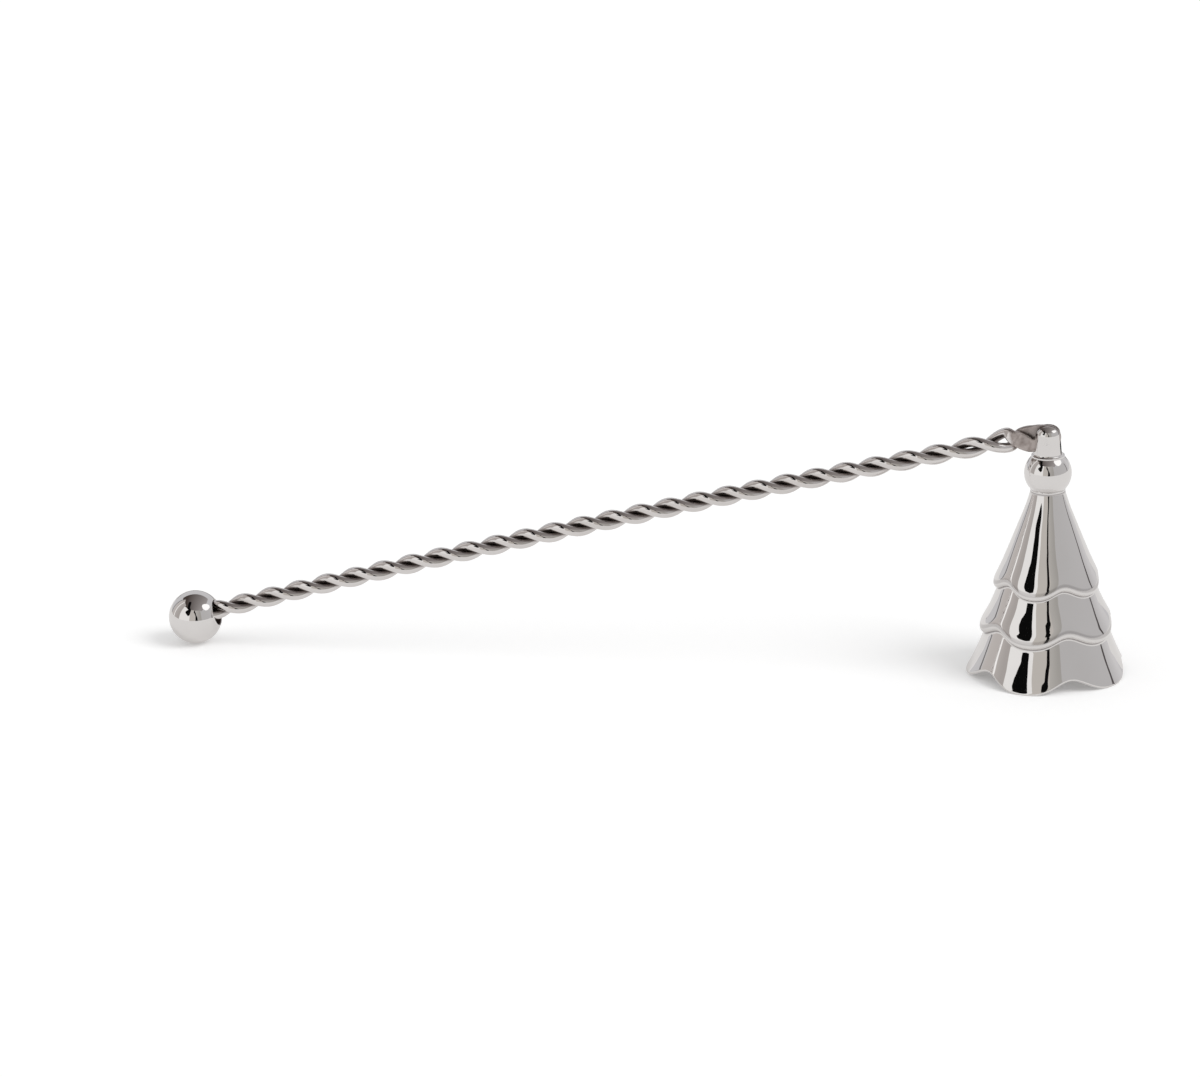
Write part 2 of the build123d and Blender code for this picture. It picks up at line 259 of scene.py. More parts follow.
# %% Flared skirt and hem lip
HEM_WAVE = 3.0 * MM
HEM_LIP = 0.5 * MM
FOOT_GRIND = 0.12 * MM
FLARE_STEPS = 12
INNER_SIDE_ANGLE = -180
hem_lean = math.atan(CONE_SLOPE + 2 * FLARE / FLARE_START)
hem_top = HEM_LIP * (1 + math.sin(hem_lean)) - FOOT_GRIND


def flared_skirt():
    places = []
    for step in range(FLARE_STEPS):
        share = step / FLARE_STEPS
        wave_height = HEM_WAVE - (HEM_WAVE - TIER_WAVES[1]) / 2 * (1 - share)
        height = FLARE_START + (hem_top - FLARE_START) * share
        places.append(scalloped(TIER_TOP_INSETS[2], height, wave_height))
    return places


def hem_lip():
    places = [(0, 0)] + bend((0, 0), HEM_LIP, math.degrees(hem_lean), INNER_SIDE_ANGLE, 3 * LIP_STEPS)
    return [scalloped(TIER_TOP_INSETS[2] + inward, hem_top - fall, HEM_WAVE) for inward, fall in places]


print("the hem leans", round(math.degrees(hem_lean), 1), "degrees")

# %% [markdown]
# ## From collar to cavity
#
# Going round the section once, the places run from the bore over the collar, down the outside,
# round the hem and up the inside. Each place says how many rings lead to it and how dark and dull
# it is: the crease under a lip gets painted shade and a duller finish, and the roll above it is
# made a little darker and duller too.
# Painting those marks by hand would miss the wave, so they are given ring by ring.

# %% Places down the bell
COLLAR_RADIUS = 4.15 * MM
COLLAR_ROUND = 0.15 * MM
COLLAR_STEPS = 4
COVE_STEPS = 12
WALL = 1.2 * MM
WALL_STEPS = 40
CAVITY_WAIST = 8.5 * MM
CAVITY_TOP = (4.5 * MM, 38.9 * MM)
BORE_RADIUS = 1.3 * MM
# Painted shade by ring, counted from the lip's last ring: most in the crease under the lip (0 to 3), a
# little on the roll above it (-16 to -11).
CREASE_SHADE_MARKS = {-16: 0.3, -15: 0.45, -14: 0.45, -13: 0.45, -12: 0.4, -11: 0.2,
                0: 0.5, 1: 1.0, 2: 1.0, 3: 0.5}


def crease_shade_marks(ring_count):
    lip_end = ring_count - LIP_STEPS - 1
    return [CREASE_SHADE_MARKS.get(ring - lip_end, 0.0) for ring in range(ring_count)]


def collar_places():
    corner = (COLLAR_RADIUS - COLLAR_ROUND, COLLAR_TOP - COLLAR_ROUND)
    places = [(level(BORE_RADIUS, COLLAR_TOP), 1, 0), (level(corner[0], COLLAR_TOP), COLLAR_STEPS, 0)]
    for radius, height in arc_points(corner, COLLAR_ROUND, 90, 0, COLLAR_STEPS):
        places.append((level(radius, height), 1, 0))
    places.append((level(COLLAR_RADIUS, COLLAR_BASE + COLLAR_ROUND), 2, 0))
    places.append((level(cone_radius(COLLAR_BASE), COLLAR_BASE), 2, 1))
    for step in range(1, COVE_STEPS + 1):
        places.append((scalloped(0, COLLAR_BASE - COVE_LENGTH * step / COVE_STEPS, 0), 1, 0))
    return places


def bell_places():
    places = collar_places()
    for tier in (0, 1):
        rings = tier_splay(tier) + tier_lip(tier)
        places.append((rings[0], WALL_STEPS, 0))
        places += [(ring, 1, mark) for ring, mark in zip(rings[1:], crease_shade_marks(len(rings))[1:])]
    rings = flared_skirt() + hem_lip()
    places.append((rings[0], WALL_STEPS // 4, 0))
    places += [(ring, 1, 0) for ring in rings[1:]]
    places.append((scalloped(TIER_TOP_INSETS[2] + WALL, CAVITY_WAIST, 0), WALL_STEPS // 2, 0))
    places.append((level(*CAVITY_TOP), WALL_STEPS, 0))
    places.append((level(BORE_RADIUS, CAVITY_TOP[1]), COLLAR_STEPS, 0))
    return places


print("places round the bell's section", len(bell_places()))

# %% [markdown]
# ## The bell's skin
#
# Every place is worked out at 600 directions, and straight runs are filled in between them. A
# subdivision modifier on a coarse grid would need fewer points, but would soften the thin lips. The
# last ring joins the first, so the skin is one closed wall with the bore through its crown.

# %% Bell mesh
BELL_COLUMNS = 600


def bell_mesh():
    start = math.pi + math.radians(BELL_TURN)
    spokes = []
    for column in range(BELL_COLUMNS):
        turn = 2 * math.pi * column / BELL_COLUMNS
        spokes.append((LOBES * turn, math.cos(start + turn), math.sin(start + turn)))
    rings, marks = [], []
    previous = None
    for place, steps, mark in bell_places():
        current = [place(phase) for phase, _, _ in spokes]
        if previous is None:
            rings.append(current)
            marks.append(mark)
        else:
            for step in range(1, steps + 1):
                share = step / steps
                rings.append([(a[0] + (b[0] - a[0]) * share, a[1] + (b[1] - a[1]) * share)
                              for a, b in zip(previous, current)])
                marks.append(mark if step == steps else 0.0)
        previous = current
    points = []
    for ring in rings:
        for (radius, height), (_, cosine, sine) in zip(ring, spokes):
            points.append((axis_x + radius * cosine, axis_y + radius * sine, height))
    return points, ring_faces(len(rings), BELL_COLUMNS, closed=True), [m for m in marks for _ in spokes]


points, faces, crease_shade = bell_mesh()
bell = new_piece("bell_casting", points, faces, "bell_side", "bell")
# Painted shade under the lips, kept at each point for the bell's finish.
mark_points(bell, "dirt_and_shade", crease_shade)
print("bell points", len(points))

# %% [markdown]
# ## The neck ball
#
# The bead between the bell and the knuckle is turned. Blender's own sphere would do for its
# outside, but the real bead has a hole through it and two flats, where it meets the collar and
# the knuckle. A profile spun round the bell's axis has all of that.

# %% Neck ball
NECK_RADIUS = 5.6 * MM
NECK_HEIGHT = 49.2 * MM
NECK_STEPS = 96
FLANGE_RADIUS = 3.95 * MM
FLANGE_LIP = 0.1 * MM
TURNED_COLUMNS = 192
knuckle_base = NECK_HEIGHT + math.sqrt(NECK_RADIUS ** 2 - (FLANGE_RADIUS - FLANGE_LIP) ** 2)


def turned(name, profile, origin, axis, body, node):
    points = lathe_points(profile, origin, axis, TURNED_COLUMNS)
    faces = ring_faces(len(profile), TURNED_COLUMNS, closed=True)
    return new_piece(name, points, faces, body, node)


def neck_profile():
    low = math.degrees(math.asin((COLLAR_TOP - NECK_HEIGHT) / NECK_RADIUS))
    high = math.degrees(math.asin((knuckle_base - NECK_HEIGHT) / NECK_RADIUS))
    profile = [(BORE_RADIUS, COLLAR_TOP)]
    profile += arc_points((0, NECK_HEIGHT), NECK_RADIUS, low, high, NECK_STEPS)
    profile.append((BORE_RADIUS, knuckle_base))
    return list(reversed(profile))


neck = turned("neck_bead", neck_profile(), axis_foot, UP, "bell_side", "neck_ball")
print("the knuckle stands at", round(knuckle_base / MM, 2), "mm")

# %% [markdown]
# ## The knuckle
#
# The post that carries the handle is turned too: a domed top, slightly tapered sides, a small cove
# and a thin flange, with the shank that runs down through the ball. It is turned whole first,
# because the slot is milled afterwards in the real one and is easier to cut from a clean solid.

# %% Knuckle
KNUCKLE_RADIUS = 3.1 * MM
KNUCKLE_FOOT_RADIUS = 3.4 * MM
KNUCKLE_ABOVE_PIVOT = 3.1 * MM
SHOULDER = 2.2 * MM
FLANGE_THICKNESS = 0.3 * MM
SHANK_RADIUS = 1.25 * MM
SHANK_END = 35.8 * MM
CENTRE_HOLE = 0.02 * MM
SHOULDER_STEPS = 32
SIDE_STEPS = 24
KNUCKLE_COVE_STEPS = 12
knuckle_top = pivot.z + KNUCKLE_ABOVE_PIVOT


def knuckle_profile():
    flange_top = knuckle_base + FLANGE_THICKNESS
    cove = FLANGE_RADIUS - KNUCKLE_FOOT_RADIUS
    shoulder_low = knuckle_top - SHOULDER
    profile = [(CENTRE_HOLE, knuckle_top)]
    profile += arc_points((KNUCKLE_RADIUS - SHOULDER, shoulder_low), SHOULDER, 90, 0, SHOULDER_STEPS)
    for step in range(1, SIDE_STEPS):
        share = step / SIDE_STEPS
        radius = KNUCKLE_RADIUS + (KNUCKLE_FOOT_RADIUS - KNUCKLE_RADIUS) * share
        profile.append((radius, shoulder_low + (flange_top + cove - shoulder_low) * share))
    profile += arc_points((FLANGE_RADIUS, flange_top + cove), cove, 180, 270, KNUCKLE_COVE_STEPS)
    profile += [(FLANGE_RADIUS, knuckle_base), (SHANK_RADIUS, knuckle_base),
                (SHANK_RADIUS, SHANK_END), (CENTRE_HOLE, SHANK_END)]
    return profile


knuckle = turned("knuckle_post", knuckle_profile(), axis_foot, UP, "bell_side", "hinge_knuckle")
print("the knuckle's top is at", round(knuckle_top / MM, 2), "mm")

# %% [markdown]
# ## The slot in the knuckle
#
# A slot runs across the knuckle for the two flattened wire ends. Modelling its walls by hand would
# mean stitching them to a domed top, so a boolean takes a block out of the turned post, as a
# milling cutter would. The same helper later adds and drills the wires' eyes.

# %% Slot
SLOT_WIDTH = 2.88 * MM
SLOT_FLOOR_THICKNESS = 0.63 * MM
CUTTER_REACH = 5 * MM
CUTTER_RISE = 1 * MM
KNUCKLE_EDGE_ANGLE = math.radians(40)
slot_floor = knuckle_base + SLOT_FLOOR_THICKNESS


def cut(piece, cutter_points, cutter_faces, operation="DIFFERENCE"):
    mesh = bpy.data.meshes.new("cutter")
    mesh.from_pydata(cutter_points, [], cutter_faces)
    cutter = bpy.data.objects.new("cutter", mesh)
    bpy.context.scene.collection.objects.link(cutter)
    modifier = piece.modifiers.new("cut", "BOOLEAN")
    modifier.operation = operation
    modifier.object = cutter
    modifier.solver = "EXACT"
    bpy.context.view_layer.update()
    evaluated = piece.evaluated_get(bpy.context.evaluated_depsgraph_get())
    result = bpy.data.meshes.new_from_object(evaluated)
    piece.modifiers.clear()
    old = piece.data
    piece.data = result
    bpy.data.meshes.remove(old)
    bpy.data.objects.remove(cutter)
    bpy.data.meshes.remove(mesh)


def block(low, high):
    points = [(x, y, z) for x in (low[0], high[0]) for y in (low[1], high[1]) for z in (low[2], high[2])]
    return points, [(0, 1, 3, 2), (4, 6, 7, 5), (0, 4, 5, 1), (2, 3, 7, 6), (0, 2, 6, 4), (1, 5, 7, 3)]


cut(knuckle, *block((axis_x - CUTTER_REACH, axis_y - SLOT_WIDTH / 2, slot_floor),
                    (axis_x + CUTTER_REACH, axis_y + SLOT_WIDTH / 2, knuckle_top + CUTTER_RISE)))
knuckle.data.shade_smooth()
knuckle.data.set_sharp_from_angle(angle=KNUCKLE_EDGE_ANGLE)
print("knuckle faces", len(knuckle.data.polygons))

# %% [markdown]
# ## The end ball
#
# The ball's axis is the handle's line, because it is bored from that side and the wires are
# soldered into the bore. So the line comes first: from the pin down to where the ball just rests
# on the table. The ball is a lathe profile with a rounded rim and a flat-bottomed bore, which a
# plain sphere hasn't got. The inside of the bore is marked dark and dull: the bore's brown oxide,
# and painted shade for the deep hole.

# %% Handle line and end ball
BALL_RADIUS = 6.5 * MM
HANDLE_REACH = 214.2 * MM
BALL_BORE = 3.0 * MM
BORE_DEPTH = 7.5 * MM
BORE_EDGE = 0.25 * MM
BORE_EDGE_DROP = 1.6 * BORE_EDGE
BORE_OXIDE_AND_SHADE_FROM = 6.3 * MM
BALL_POLE_GAP = 0.2
BALL_STEPS = 120
BORE_EDGE_STEPS = 6
drop = math.asin((pivot.z - BALL_RADIUS) / HANDLE_REACH)
along = Vector((-math.cos(drop), 0, -math.sin(drop)))
upward = Vector((-math.sin(drop), 0, math.cos(drop)))
backward = Vector((0, 1, 0))
ball_centre = pivot + along * HANDLE_REACH


def end_ball_profile():
    mouth = math.degrees(math.asin((BALL_BORE + BORE_EDGE) / BALL_RADIUS))
    rim_height = -BALL_RADIUS * math.cos(math.radians(mouth))
    profile = arc_points((0, 0), BALL_RADIUS, 90 - BALL_POLE_GAP, mouth - 90, BALL_STEPS)
    edge_centre = (BALL_BORE + BORE_EDGE, rim_height + BORE_EDGE_DROP)
    profile += arc_points(edge_centre, BORE_EDGE, 240, 180, BORE_EDGE_STEPS)
    bottom = BORE_DEPTH - BALL_RADIUS
    profile += [(BALL_BORE, bottom), (CENTRE_HOLE, bottom)]
    return profile


end_ball = turned("turned_end_ball", end_ball_profile(), ball_centre, along, "handle", "end_ball")
# Painted shade with the bore's brown oxide: points inside the bore are marked dark.
mark_points(end_ball, "dirt_and_shade", [1.0 if (v.co - ball_centre).length < BORE_OXIDE_AND_SHADE_FROM else 0.0
                                for v in end_ball.data.vertices])
print("the handle drops", round(math.degrees(drop), 2), "degrees")

# %% [markdown]
# ## The path of the wires
#
# Two round wires are twisted together, so each is a helix about one gently bowed line. Near the
# hinge the twist loosens and lifts before the ends are pressed flat. A curve with a bevel could
# make the round part but not the flattened end, so each wire's centre line is written as a
# formula, and the wire becomes rings along it.

# %% Wire path
WIRE = 1.2 * MM
ROPE_GAP = -0.04 * MM
BOW = 1.7 * MM
RISE_AT_BALL = 0.45 * MM
RISE_AT_PIVOT = 1.0 * MM
FORK_LIFT = 0.6 * MM
FORK_LIFT_LENGTH = 40.0 * MM
FORK_STRETCH = 1.7 * MM
HALF_PITCH = 7.26 * MM
LOOSE_PITCH = 7.6 * MM
LOOSE_TURNS = 4
LAST_TOP = 10.8 * MM
LOOSE_OPENING = 0.62 * MM
BORE_ROOM = 1.0 * MM
WIRE_END = HANDLE_REACH - BALL_RADIUS + BORE_DEPTH - BORE_ROOM
loose_end = LAST_TOP + LOOSE_TURNS * LOOSE_PITCH
last_phase = math.pi * (LOOSE_TURNS + (WIRE_END - loose_end) / HALF_PITCH)


def rope_line(distance):
    share = distance / HANDLE_REACH
    rise = RISE_AT_PIVOT + (RISE_AT_BALL - RISE_AT_PIVOT) * share + 4 * BOW * share * (1 - share)
    rise += FORK_LIFT * max(0.0, 1 - distance / FORK_LIFT_LENGTH) ** 2
    return pivot + along * distance + upward * rise


def open_share(phase):
    return max(0.0, 1 - phase / (2 * math.pi)) ** 2


def distance_at(phase):
    half_turns = phase / math.pi
    if half_turns < LOOSE_TURNS:
        return LAST_TOP + half_turns * LOOSE_PITCH - FORK_STRETCH * open_share(phase)
    return loose_end + (half_turns - LOOSE_TURNS) * HALF_PITCH


def wire_point(phase, start_angle):
    radius = WIRE + ROPE_GAP / 2 + LOOSE_OPENING * open_share(phase)
    angle = phase + start_angle
    return rope_line(distance_at(phase)) + (upward * math.cos(angle) + backward * math.sin(angle)) * radius


print("half turns in the handle", round(last_phase / math.pi, 1))

# %% [markdown]
# ## Rings along a wire
#
# A station is a place on the wire's centre line with the section's half height, half depth and
# squareness there. Squareness 2 is a circle and 8 is nearly a rectangle, so one formula carries a
# round wire smoothly into a flat strip. Joining two separate meshes would leave a seam that the
# polish shows.

# %% Stations and tube
ROUND = 2.0
KNOT_STEPS = 12
WIRE_COLUMNS = 32
LEAD_PHASE = math.pi / 8


def smooth_path(knots, steps):
    stations = []
    for index in range(1, len(knots) - 2):
        before, here, there, after = knots[index - 1:index + 3]
        for step in range(steps):
            t = step / steps
            weights = (-0.5 * t + t ** 2 - 0.5 * t ** 3, 1 - 2.5 * t ** 2 + 1.5 * t ** 3,
                       0.5 * t + 2 * t ** 2 - 1.5 * t ** 3, -0.5 * t ** 2 + 0.5 * t ** 3)
            stations.append([sum(w * knot[axis] for w, knot in zip(weights, (before, here, there, after)))
                             for axis in range(len(here))])
    stations.append(list(knots[-2]))
    return stations


def end_stations(start_angle, side, knots):
    first = wire_point(0, start_angle)
    second = wire_point(LEAD_PHASE, start_angle)
    sections = [(*second, WIRE, WIRE, ROUND), (*first, WIRE, WIRE, ROUND)]
    for x, y, z, high, deep, square in knots:
        place = pivot + Vector((x, side * y, z)) * MM
        sections.append((*place, high * MM, deep * MM, square))
    return smooth_path(sections, KNOT_STEPS)


def tube_rings(stations):
    points = []
    for index, station in enumerate(stations):
        here = Vector(station[:3])
        before = Vector(stations[max(0, index - 1)][:3])
        after = Vector(stations[min(len(stations) - 1, index + 1)][:3])
        tangent = (after - before).normalized()
        deep_axis = (backward - tangent * backward.dot(tangent)).normalized()
        high_axis = tangent.cross(deep_axis)
        high, deep, square = station[3:6]
        for column in range(WIRE_COLUMNS):
            turn = 2 * math.pi * column / WIRE_COLUMNS
            cosine, sine = math.cos(turn), math.sin(turn)
            across = math.copysign(abs(cosine) ** (2 / square), cosine) * deep
            rise = math.copysign(abs(sine) ** (2 / square), sine) * high
            points.append(here + deep_axis * across + high_axis * rise)
    return points


print("a wire's section has", WIRE_COLUMNS, "points")

# %% [markdown]
# ## The flattened ends
#
# Each wire's end is hammered flat, ground and drilled to make an eye for the cross pin. The knots
# below are places chosen from the picture, in millimetres from the pin: how far along, how far
# out, how high, and then the section. The eye is a thick washer added to the strip, and the
# back wire's wider plate is a flat outline added in the same way.

# %% Flattened ends
FRONT_KNOTS = ((-8.3, 1.25, 0.55, 1.55, 0.9, 4.0), (-7.1, 0.85, -0.1, 1.85, 0.7, 5.0),
               (-5.4, 0.69, -0.95, 1.9, 0.65, 7.0), (-3.9, 0.69, -1.55, 1.65, 0.65, 8.0),
               (-2.4, 0.69, -1.4, 1.45, 0.65, 8.0), (-1.2, 0.69, -1.2, 1.3, 0.65, 8.0))
BACK_KNOTS = ((-8.0, 1.2, -1.6, 1.55, 0.9, 4.0), (-7.0, 0.85, -0.7, 1.9, 0.7, 5.0),
              (-6.0, 0.69, 0.1, 2.1, 0.65, 7.0), (-4.4, 0.69, 0.65, 2.05, 0.65, 8.0),
              (-2.6, 0.69, 1.0, 1.85, 0.65, 8.0), (-1.2, 0.69, 1.2, 1.6, 0.65, 8.0))
BACK_PLATE = ((-5.2, 2.45), (-2.5, 2.92), (0.0, 2.95), (1.0, 0.0), (-1.8, -1.5), (-4.4, 0.0))
TAB_THICKNESS = 1.3 * MM
TAB_GAP = 0.08 * MM
EYE_RADIUS = 3.0 * MM
EYE_ROUND = 0.2 * MM
EYE_ROUND_STEPS = 4
EYE_COLUMNS = 96
PIN_HOLE = 0.85 * MM
DRILL_REACH = 4 * MM
tab_middle = (TAB_THICKNESS + TAB_GAP) / 2
tab_half = TAB_THICKNESS / 2


def turned_block(profile, centre):
    faces = ring_faces(len(profile), EYE_COLUMNS, closed=True)
    return lathe_points(profile, centre, backward, EYE_COLUMNS), faces


def eye_block(side):
    profile = [(PIN_HOLE, tab_half)]
    profile += arc_points((EYE_RADIUS - EYE_ROUND, tab_half - EYE_ROUND), EYE_ROUND, 90, 0, EYE_ROUND_STEPS)
    profile += arc_points((EYE_RADIUS - EYE_ROUND, EYE_ROUND - tab_half), EYE_ROUND, 0, -90, EYE_ROUND_STEPS)
    profile.append((PIN_HOLE, -tab_half))
    return turned_block(profile, pivot + backward * side * tab_middle)


def plate_block(outline, side):
    centre = pivot + backward * side * tab_middle
    points = [centre + Vector((x * MM, y, z * MM)) for y in (-tab_half, tab_half) for x, z in outline]
    return points, ring_faces(2, len(outline), cap_first=True, cap_last=True)


def drill_block():
    return turned_block([(CENTRE_HOLE, DRILL_REACH), (PIN_HOLE, DRILL_REACH),
                         (PIN_HOLE, -DRILL_REACH), (CENTRE_HOLE, -DRILL_REACH)], pivot)


print("each eye is", round(2 * EYE_RADIUS / MM, 1), "mm across")

# %% [markdown]
# ## The two wires
#
# Each wire is built from the ball towards the pin: rings along the helix, then the flattened end,
# then the eye. A twist modifier on two straight rods would twist the flat ends as well. Points near
# the rope's middle are marked darker: dirt that gathers where the wires touch, and painted shade
# between the two wires.

# %% Wires
RINGS_PER_TURN = 44
# Dirt and painted shade between the wires: full near the rope's middle, fading out at this distance from it.
DIRT_AND_SHADE_EDGE = 1.5 * MM
DIRT_AND_SHADE_FADE = 0.45 * MM
WIRE_EDGE_ANGLE = math.radians(50)


def rope_dirt_and_shade(point):
    middle = rope_line((point - pivot).dot(along))
    return min(1.0, max(0.0, (DIRT_AND_SHADE_EDGE - (point - middle).length) / DIRT_AND_SHADE_FADE))


def make_strand(name, node, start_angle, side, knots, plate=None):
    rings = math.ceil(last_phase / (2 * math.pi) * RINGS_PER_TURN)
    stations = []
    for ring in range(rings, 0, -1):
        place = wire_point(last_phase * ring / rings, start_angle)
        stations.append([*place, WIRE, WIRE, ROUND])
    stations += end_stations(start_angle, side, knots)
    points = tube_rings(stations)
    faces = ring_faces(len(stations), WIRE_COLUMNS, cap_first=True, cap_last=True)
    strand = new_piece(name, points, faces, "handle", node)
    if plate:
        cut(strand, *plate_block(plate, side), operation="UNION")
    cut(strand, *drill_block())
    cut(strand, *eye_block(side), operation="UNION")
    # Dirt and painted shade between the wires, kept at each point.
    mark_points(strand, "dirt_and_shade", [rope_dirt_and_shade(v.co) for v in strand.data.vertices])
    strand.data.shade_smooth()
    strand.data.set_sharp_from_angle(angle=WIRE_EDGE_ANGLE)
    return strand


front = make_strand("front_wire", "front_strand", 0, -1, FRONT_KNOTS)
rear = make_strand("back_wire", "back_strand", math.pi, 1, BACK_KNOTS, BACK_PLATE)
print("wire faces", len(front.data.polygons), len(rear.data.polygons))

# %% [markdown]
# ## Waviness of a polished surface
#
# Polished metal has almost no colour of its own. It looks real because it isn't perfect: hand
# polishing leaves a faint waviness that bends reflections. Moving the mesh itself would need far
# more points, so a bump does it, in a node group that every metal uses with its own values.

# %% Waviness group
WAVE_DETAIL = 1.0
WAVE_DEPTH = 1 * MM


def start_group(name, inputs, outputs):
    group = bpy.data.node_groups.new(name, "ShaderNodeTree")
    for label, default in inputs:
        socket = group.interface.new_socket(name=label, in_out="INPUT", socket_type="NodeSocketFloat")
        socket.default_value = default
    for label, kind in outputs:
        group.interface.new_socket(name=label, in_out="OUTPUT", socket_type=kind)
    return group, group.nodes.new("NodeGroupInput"), group.nodes.new("NodeGroupOutput")


def object_noise(group, scale, detail):
    place = group.nodes.new("ShaderNodeTexCoord")
    noise = group.nodes.new("ShaderNodeTexNoise")
    noise.inputs["Detail"].default_value = detail
    group.links.new(place.outputs["Object"], noise.inputs["Vector"])
    group.links.new(scale, noise.inputs["Scale"])
    return noise.outputs["Fac"]


def waviness_group():
    group, inside, outside = start_group(
        "Hand polished waviness", [("Lumps per metre", 160.0), ("Strength", 0.05)],
        [("Normal", "NodeSocketVector")])
    links = group.links
    lumps = object_noise(group, inside.outputs["Lumps per metre"], WAVE_DETAIL)
    bump = group.nodes.new("ShaderNodeBump")
    bump.inputs["Distance"].default_value = WAVE_DEPTH
    links.new(inside.outputs["Strength"], bump.inputs["Strength"])
    links.new(lumps, bump.inputs["Height"])
    links.new(bump.outputs["Normal"], outside.inputs["Normal"])
    return group


WAVINESS = waviness_group()
print("group", WAVINESS.name, "has", len(WAVINESS.nodes), "nodes")

# %% [markdown]
# ## Smudges from handling
#
# Fingers leave faint smudges that make some areas a little rougher and duller. A painted image
# could hold them, but noise gives the same thing at any size. The group puts out the roughness and
# also its mask, so that a metal can change its tint in the same places.

# %% Smudge group
SMUDGE_DETAIL = 4.0
SMUDGE_RANGE = (0.45, 0.75)


def map_range(nodes, low, high):
    spread = nodes.new("ShaderNodeMapRange")
    spread.inputs["From Min"].default_value = low
    spread.inputs["From Max"].default_value = high
    return spread


def smudge_group():
    group, inside, outside = start_group(
        "Handling smudges",
        [("Marks per metre", 60.0), ("Clean roughness", 0.03), ("Smudged roughness", 0.09)],
        [("Roughness", "NodeSocketFloat"), ("Mask", "NodeSocketFloat")])
    links = group.links
    marks = object_noise(group, inside.outputs["Marks per metre"], SMUDGE_DETAIL)
    spread = map_range(group.nodes, *SMUDGE_RANGE)
    mix = group.nodes.new("ShaderNodeMapRange")
    links.new(marks, spread.inputs["Value"])
    links.new(spread.outputs["Result"], mix.inputs["Value"])
    links.new(inside.outputs["Clean roughness"], mix.inputs["To Min"])
    links.new(inside.outputs["Smudged roughness"], mix.inputs["To Max"])
    links.new(mix.outputs["Result"], outside.inputs["Roughness"])
    links.new(spread.outputs["Result"], outside.inputs["Mask"])
    return group


SMUDGES = smudge_group()
print("group", SMUDGES.name, "has", len(SMUDGES.nodes), "nodes")

# %% [markdown]
# ## One recipe for every metal
#
# Nickel, drawn wire, plain steel and solder differ only in tint, roughness and how wavy they are.
# So one function makes them all, with Metallic at 1 and the two groups placed in each material
# with its own values. Separate node trees drawn by hand would drift apart when one is changed.

# %% Metal recipe
def place_group(material, group, values):
    node = material.node_tree.nodes.new("ShaderNodeGroup")
    node.node_tree = group
    for label, value in values.items():
        node.inputs[label].default_value = value
    return node


def colour_mix(nodes, first, second):
    mix = nodes.new("ShaderNodeMix")
    mix.data_type = "RGBA"
    mix.inputs["A"].default_value = (*first, 1)
    mix.inputs["B"].default_value = (*second, 1)
    return mix


def metal(name, bright, dull, roughness, lumps, strength):
    material = bpy.data.materials.new(name)
    material.use_nodes = True
    nodes, links = material.node_tree.nodes, material.node_tree.links
    shader = nodes["Principled BSDF"]
    shader.inputs["Metallic"].default_value = 1.0
    smudges = place_group(material, SMUDGES,
                          {"Clean roughness": roughness[0], "Smudged roughness": roughness[1]})
    waves = place_group(material, WAVINESS, {"Lumps per metre": lumps, "Strength": strength})
    tint = colour_mix(nodes, bright, dull)
    links.new(smudges.outputs["Mask"], tint.inputs["Factor"])
    links.new(tint.outputs["Result"], shader.inputs["Base Color"])
    links.new(smudges.outputs["Roughness"], shader.inputs["Roughness"])
    links.new(waves.outputs["Normal"], shader.inputs["Normal"])
    return material


BRIGHT_NICKEL, SOFT_NICKEL = (0.80, 0.785, 0.775), (0.77, 0.755, 0.745)
nickel = metal("polished nickel plate", BRIGHT_NICKEL, SOFT_NICKEL, (0.02, 0.05), 150, 0.06)
turned_nickel = metal("turned nickel", BRIGHT_NICKEL, SOFT_NICKEL, (0.02, 0.05), 120, 0.03)
wire_metal = metal("drawn wire", (0.76, 0.735, 0.725), (0.70, 0.67, 0.655), (0.05, 0.13), 400, 0.04)
steel = metal("plain steel", (0.50, 0.49, 0.48), (0.40, 0.39, 0.38), (0.3, 0.45), 800, 0.05)
solder = metal("dull solder", (0.42, 0.41, 0.40), (0.30, 0.29, 0.28), (0.4, 0.6), 900, 0.2)
print("metals", [m.name for m in (nickel, turned_nickel, wire_metal, steel, solder)])

# %% [markdown]
# ## Where the polish stops
#
# The flattened ends are ground and left dull. The rope holds dirt, and the bore its brown oxide.
# The crease under each lip, the rope's middle and the bore also get painted shade, and the roll
# above each lip is made a little darker. Faces with a material of their own would end in a hard
# line, where real grinding fades into polish. So one helper lays a second colour and roughness over
# the clean ones wherever a mask says so, and the masks come from the marks at the points or from
# the distance to the pin.

# %% Stains and painted shade
GROUND_FROM, GROUND_TO = 8.7 * MM, 7.9 * MM
GRIT_PER_METRE = 700.0


def stain_and_shade(material, mask, colour, roughness):
    nodes, links = material.node_tree.nodes, material.node_tree.links
    shader = nodes["Principled BSDF"]
    for label, value, kind in (("Base Color", (*colour, 1), "RGBA"), ("Roughness", roughness, "FLOAT")):
        mix = nodes.new("ShaderNodeMix")
        mix.data_type = kind
        clean = shader.inputs[label].links[0].from_socket
        links.new(mask, mix.inputs["Factor"])
        links.new(clean, mix.inputs["A"])
        mix.inputs["B"].default_value = value
        links.new(mix.outputs["Result"], shader.inputs[label])


def dirt_and_shade_mask(material):
    layer = material.node_tree.nodes.new("ShaderNodeAttribute")
    layer.attribute_name = "dirt_and_shade"
    return layer.outputs["Fac"]


def times(material, first, second):
    node = material.node_tree.nodes.new("ShaderNodeMath")
    node.operation = "MULTIPLY"
    material.node_tree.links.new(first, node.inputs[0])
    material.node_tree.links.new(second, node.inputs[1])
    return node.outputs["Value"]


